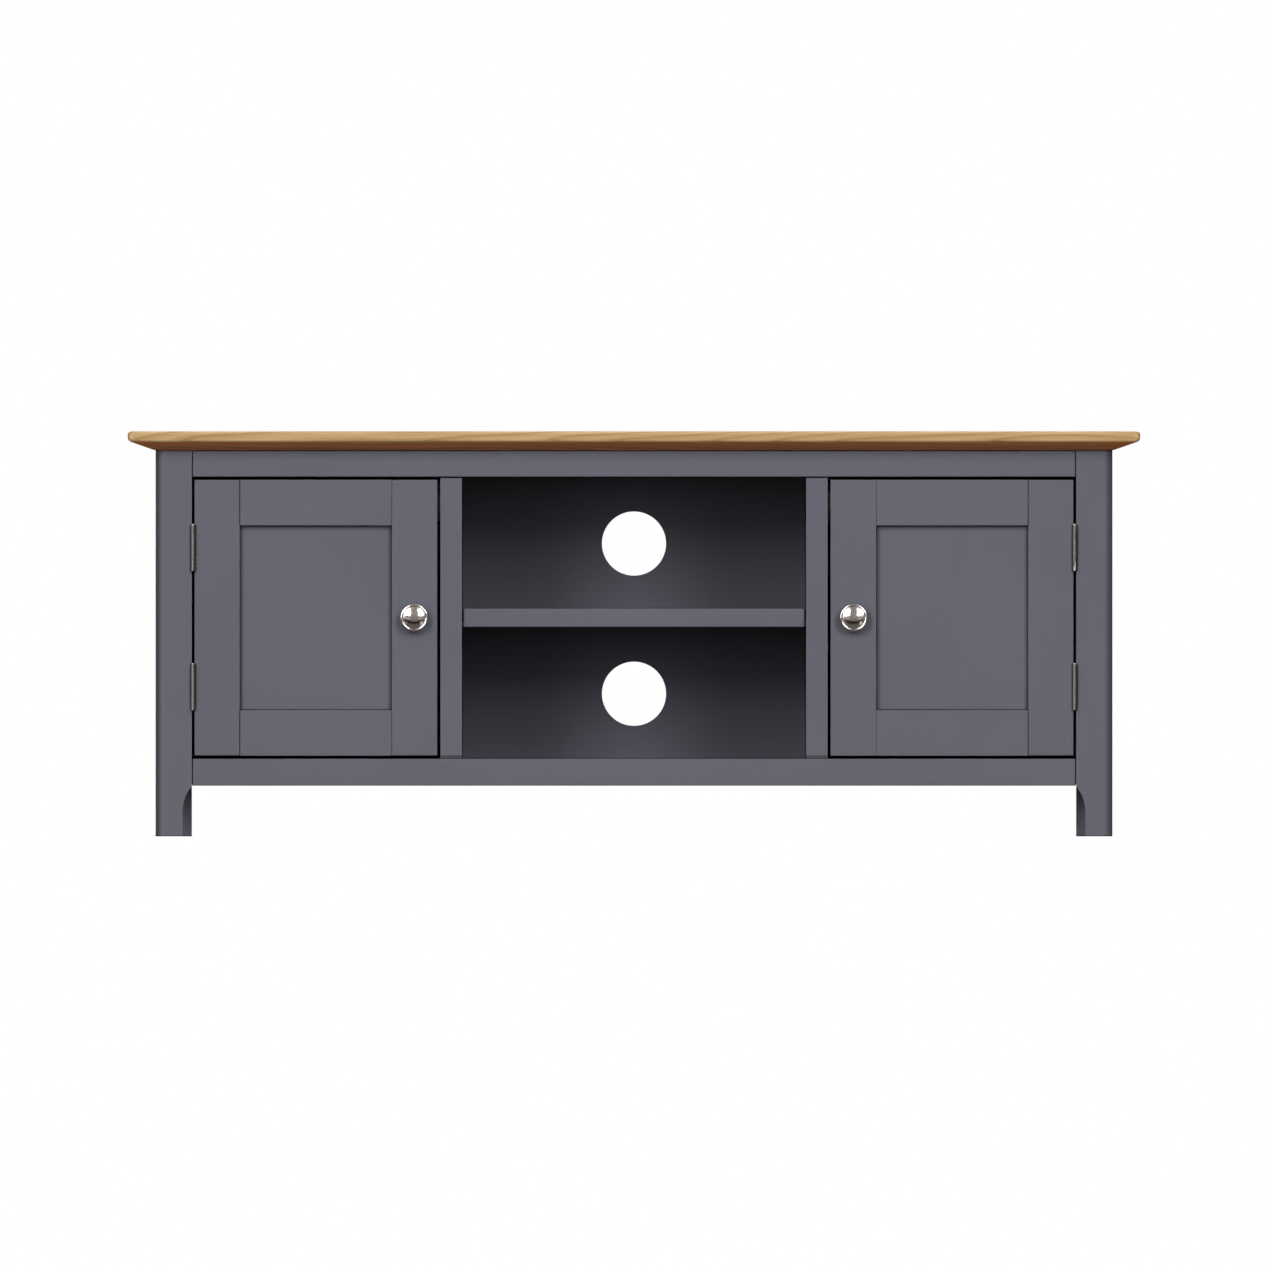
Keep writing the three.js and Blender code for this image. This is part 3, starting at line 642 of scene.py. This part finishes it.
def catch_details(side, sign):
    """A catch's two screws and pole plates, and the screws of the plate that it pulls on."""
    low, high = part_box("magnetic_catch_" + side)
    middle = (low + high) / 2
    ear_x = (low.x if sign > 0 else high.x) + sign * CATCH_EAR_T
    ear_y = high.y - CATCH_SCREW_FROM_BACK
    ears = [(ear_x, ear_y, middle.z + up * CATCH_SCREW_UP) for up in (-1, 1)]
    screws(f"catch_screws_{side}", "carcass", ears, (sign, 0, 0), CATCH_HEAD)

    bm = bmesh.new()
    for offset in POLE_PLATES_AT:
        place = Vector((middle.x + offset, low.y + POLE_PLATE_BEHIND, middle.z))
        size = Matrix.Diagonal((*POLE_PLATE, 1))
        bmesh.ops.create_cube(bm, size=1, matrix=Matrix.Translation(place) @ size)
    poles = new_piece(f"catch_poles_{side}", bm, [STEEL], "carcass")
    ease(poles, 0.15, segments=2)

    node = "strike_plate_" + side
    low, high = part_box(node)
    x = (high.x if sign > 0 else low.x) - sign * STRIKE_SCREW_IN
    places = [(x, high.y, (low.z + high.z) / 2 + up * STRIKE_SCREW_UP) for up in (-1, 1)]
    screws(f"strike_screws_{side}", BODY_OF[node], places, (0, 1, 0), STRIKE_HEAD)


BACK_SCREW_COLUMNS = 7
BACK_SCREW_END = 30 * MM  # from the panel's ends
BACK_SCREW_IN = 5 * MM  # from its edges, into the rear legs


def back_panel_screws():
    """Screws through the back panel into the rails, rear legs and dividers."""
    low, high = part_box("back_panel")
    rails = [sum(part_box(n), Vector()).z / 2 for n in ("back_bottom_rail", "back_top_rail")]
    first = low.x + BACK_SCREW_END
    pitch = (high.x - low.x - 2 * BACK_SCREW_END) / (BACK_SCREW_COLUMNS - 1)
    places = [
        (first + i * pitch, high.y, z) for i in range(BACK_SCREW_COLUMNS) for z in rails
    ]
    rise = rails[1] - rails[0]
    divider = sum(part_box("divider_right"), Vector()).x / 2
    for sign in SIDES.values():
        for x in (high.x - BACK_SCREW_IN, divider):
            heights = [rails[0] + share * rise for share in (0.25, 0.5, 0.75)]
            places += [(sign * x, high.y, z) for z in heights]
    screws("back_panel_screws", "carcass", places, (0, 1, 0), BACK_HEAD)


# ---- Studio ----

WHITE = (1.0, 1.0, 1.0)
VIEW_WIDTH = 1.5028  # metres across the picture
VIEW_HEIGHT = 0.2398  # of the picture's middle, above the floor
VIEW_DISTANCE = 6.0


def camera():
    """Straight on and parallel, with the cabinet's middle at the middle of the picture."""
    data = bpy.data.cameras.new("camera")
    data.type = "ORTHO"
    data.ortho_scale = VIEW_WIDTH
    made = bpy.data.objects.new("camera", data)
    made.location = (0, -VIEW_DISTANCE, VIEW_HEIGHT)
    made.rotation_euler = (math.pi / 2, 0, 0)
    bpy.context.scene.collection.objects.link(made)
    bpy.context.scene.camera = made


def softbox(name, centre, target, width, height, radiance):
    """An area light of even radiance at centre, turned to a target."""
    data = bpy.data.lights.new(name, "AREA")
    data.shape = "RECTANGLE"
    data.size = width
    data.size_y = height
    data.energy = radiance * math.pi * width * height
    light = bpy.data.objects.new(name, data)
    light.location = centre
    light.rotation_euler = (Vector(centre) - Vector(target)).to_track_quat("Z", "Y").to_euler()
    light.visible_camera = False
    bpy.context.scene.collection.objects.link(light)
    return light


LIGHT_DISTANCE = 24.0


def far_softbox(name, azimuths, elevations, radiance):
    """An upright softbox far in front of the cabinet, over a range of directions in degrees."""
    (x0, x1), (z0, z1) = (
        [LIGHT_DISTANCE * math.tan(math.radians(angle)) for angle in pair]
        for pair in (azimuths, elevations)
    )
    centre = ((x0 + x1) / 2, -LIGHT_DISTANCE, (z0 + z1) / 2)
    return softbox(name, centre, (centre[0], 0, centre[2]), abs(x1 - x0), z1 - z0, radiance)


def mirrored(name, azimuths, elevations, radiance):
    """A far softbox that only shows as a reflection."""
    far_softbox(name, azimuths, elevations, radiance).visible_diffuse = False


KEY_RADIANCE = 12.6
KEY_EDGES = (15.5, 31)  # degrees aside
KEY_FOOT = 10  # degrees up
KEY_HEAD = 37


def lights():
    """A pair of tall softboxes before the cabinet, dim along their foot, and lights behind it."""
    for side, sign in SIDES.items():
        keys = [sign * edge for edge in KEY_EDGES]
        far_softbox("key_" + side, keys, (KEY_FOOT, KEY_HEAD), KEY_RADIANCE)
        skirt = far_softbox("skirt_" + side, keys, (0, KEY_FOOT), 0.5 * KEY_RADIANCE)
        skirt.visible_glossy = False
        mirrored("fade_" + side, keys, (-4, KEY_FOOT), 0.4)
        mirrored("crown_" + side, keys, (KEY_HEAD, 60), 1.6)
        softbox("back_" + side, (sign * 1.5, 4.8, 2.0), (0, 0, 0.25), 2.4, 2.4, 5.0)
    softbox("overhead", (0, 1.2, 4.2), (0, 0.2, 0), 3.0, 3.0, 1.4)
    mirrored("glint_left", (-35, -29), (-25, -18), 0.7)
    mirrored("glint_right", (24, 33), (-27, -15), 0.9)
    mirrored("window_left", (-62, -36), (0, 45), 6.0)


# How bright the room is by a direction's slope, from -0.5 to 0.5 as 0 to 1.
ROOM_IN_METAL = ((0.0, 0.18), (0.06, 0.1), (0.13, 0.01), (0.22, 0.01), (0.31, 0.28), (0.6, 0.38))
ROOM_LIGHT = ((0.0, 0.22), (0.1, 0.1), (0.38, 0.01), (0.6, 0.01), (1.0, 0.06))
ROOM_TINT = (1.0, 0.84, 0.77)
HORIZON_RISE = 0.28  # of the dark horizon, from the middle to 45 degrees aside
DIM_BEHIND = 0.15


def world():
    """White to the camera. To everything else a dim room over a pale floor, with a dark horizon."""
    made = bpy.data.worlds.new("studio")
    made.use_nodes = True
    bpy.context.scene.world = made
    nodes, links = made.node_tree.nodes, made.node_tree.links

    def add(kind, inputs=(), **settings):
        node = nodes.new("ShaderNode" + kind)
        for name, value in settings.items():
            setattr(node, name, value)
        for name, value in dict(inputs).items():
            if isinstance(value, bpy.types.NodeSocket):
                links.new(value, node.inputs[name])
            else:
                node.inputs[name].default_value = value
        return node

    def math_node(operation, *values):
        return add("Math", dict(enumerate(values)), operation=operation).outputs[0]

    def room(stops):
        node = add("ValToRGB", {"Fac": level})
        set_stops(node.color_ramp, [(place, tone(ROOM_TINT, share)) for place, share in stops])
        return node.outputs["Color"]

    direction = add("SeparateXYZ", {0: add("TexCoord").outputs["Generated"]}).outputs
    ahead = math_node("MAXIMUM", math_node("ABSOLUTE", direction["Y"]), 0.3)
    aside = math_node("POWER", math_node("DIVIDE", direction["X"], ahead), 2.0)
    rise = math_node("MINIMUM", math_node("MULTIPLY", aside, HORIZON_RISE), HORIZON_RISE)
    slope = math_node("SUBTRACT", math_node("DIVIDE", direction["Z"], ahead), rise)
    level = add("MapRange", {"Value": slope, "From Min": -0.5, "From Max": 0.5}).outputs[0]
    ray = add("LightPath").outputs
    behind = add("MapRange", {"Value": direction["Y"], "From Min": -0.1, "From Max": 0.3})
    behind.inputs["To Min"].default_value = 1.0
    behind.inputs["To Max"].default_value = DIM_BEHIND
    seen = add("Background", {"Color": room(ROOM_IN_METAL), "Strength": behind.outputs[0]})
    cast = add("Background", {"Color": room(ROOM_LIGHT)})
    dim = add("MixShader", {0: ray["Is Glossy Ray"], 1: cast.outputs[0], 2: seen.outputs[0]})
    white = add("Background", {"Color": (*WHITE, 1.0)}).outputs[0]
    both = add("MixShader", {0: ray["Is Camera Ray"], 1: dim.outputs[0], 2: white})
    links.new(both.outputs[0], nodes["World Output"].inputs["Surface"])


FLOOR_SIZE = 14.0
FLOOR_RINGS = 24
FLOOR_DROP = 0.2 * MM
FLOOR_GLOW = 0.3  # how much of the backdrop's white the floor has under the cabinet
FADE_FROM = 0.7  # metres from the cabinet's middle
FADE_TO = 1.8


def floor():
    """A pale floor that fades to the white of the backdrop well away from the cabinet."""
    bm = bmesh.new()
    half = FLOOR_SIZE / 2
    bmesh.ops.create_grid(bm, x_segments=FLOOR_RINGS, y_segments=FLOOR_RINGS, size=half)
    mesh = bpy.data.meshes.new("floor")
    bm.to_mesh(mesh)
    bm.free()
    made = bpy.data.objects.new("floor", mesh)
    made.location.z = -FLOOR_DROP
    bpy.context.scene.collection.objects.link(made)
    made.visible_diffuse = False
    made.visible_glossy = False

    g = Graph("floor")
    place = g.add("TexCoord", out="Object")
    mottle = g.noise(place, (3.0, 3.0, 3.0), detail=4.0)
    pale = g.ramp(mottle, (0.3, (0.77, 0.77, 0.775)), (0.7, (0.8, 0.8, 0.8)))
    grit = g.noise(place, (600.0, 600.0, 600.0), detail=2.0)
    g.finish(Base_Color=pale, Roughness=0.6, Normal=g.bump(grit, 0.05, 0.1 * MM))
    away = g.add("VectorMath", {0: place}, out="Value", operation="LENGTH")
    fade = g.span(away, FADE_FROM, FADE_TO, FLOOR_GLOW)
    white = g.add("Emission", {"Color": (*WHITE, 1.0)})
    both = g.add("MixShader", {0: fade, 1: g.surface.outputs[0], 2: white})
    g.tree.links.new(both, g.tree.nodes["Material Output"].inputs["Surface"])
    mesh.materials.append(g.material)


# ---- The scene ----

bpy.context.scene.view_settings.view_transform = "Standard"
bpy.context.scene.view_settings.look = "None"

camera()
world()
lights()
floor()

finish_cad_nodes()
oak_top()
back_panel_screws()
for side, sign in SIDES.items():
    knob(side)
    catch_details(side, sign)
    for level in HINGES:
        hinge_screws(side, sign, level)
